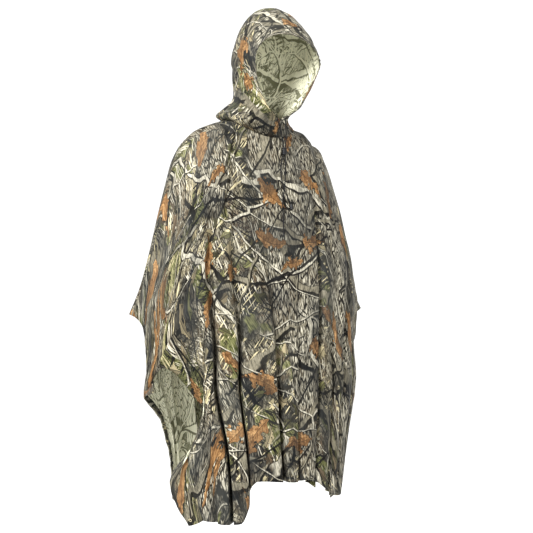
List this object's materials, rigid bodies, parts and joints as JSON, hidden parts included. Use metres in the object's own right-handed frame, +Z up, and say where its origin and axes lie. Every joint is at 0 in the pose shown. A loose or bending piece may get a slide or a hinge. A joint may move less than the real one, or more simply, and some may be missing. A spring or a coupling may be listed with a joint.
{
  "type": "hooded rain poncho",
  "caption": "Hooded rain poncho in its worn, filled-out form: open neck, face, hem, side slits and sleeve ends, with a drawcord, edge snaps and corner eyelets.",
  "frame": {"origin": "middle of the neck opening, level with the shoulders, where the wearer's neck and shoulders hold the poncho", "axes": "+Z up, -Y is the front, +X is the wearer's left"},
  "size_m": [0.772, 0.3823, 1.3841],
  "materials": {
    "cloth": "coated polyester with an all-over woodland print, low sheen",
    "snap_plastic": "black moulded plastic",
    "eyelet_brass": "polished",
    "cord": "black braided cord"
  },
  "bodies": {
    "root": {"front_panel": "cloth", "back_panel": "cloth", "hood_right": "cloth", "hood_left": "cloth", "snap_front_right_second_cap": "snap_plastic", "snap_front_right_second_socket": "snap_plastic", "snap_front_right_third_cap": "snap_plastic", "snap_front_right_third_socket": "snap_plastic", "eyelet_front_right": "eyelet_brass", "snap_back_right_second_cap": "snap_plastic", "snap_back_right_second_socket": "snap_plastic", "snap_back_right_third_cap": "snap_plastic", "snap_back_right_third_socket": "snap_plastic", "eyelet_back_right": "eyelet_brass", "snap_front_right_first_cap": "snap_plastic", "snap_front_right_first_socket": "snap_plastic", "snap_front_right_first_stud": "snap_plastic", "snap_front_left_second_cap": "snap_plastic", "snap_front_left_second_socket": "snap_plastic", "snap_front_left_third_cap": "snap_plastic", "snap_front_left_third_socket": "snap_plastic", "eyelet_front_left": "eyelet_brass", "snap_back_left_second_cap": "snap_plastic", "snap_back_left_second_socket": "snap_plastic", "snap_back_left_third_cap": "snap_plastic", "snap_back_left_third_socket": "snap_plastic", "eyelet_back_left": "eyelet_brass", "snap_front_left_first_cap": "snap_plastic", "snap_front_left_first_socket": "snap_plastic", "snap_front_left_first_stud": "snap_plastic", "drawcord_strand_right": "cord", "drawcord_strand_left": "cord", "drawcord_tail_toggle": "cord", "drawcord_tail_free": "cord", "cord_lock": "snap_plastic", "cord_toggle": "snap_plastic"}
  },
  "joints": []
}
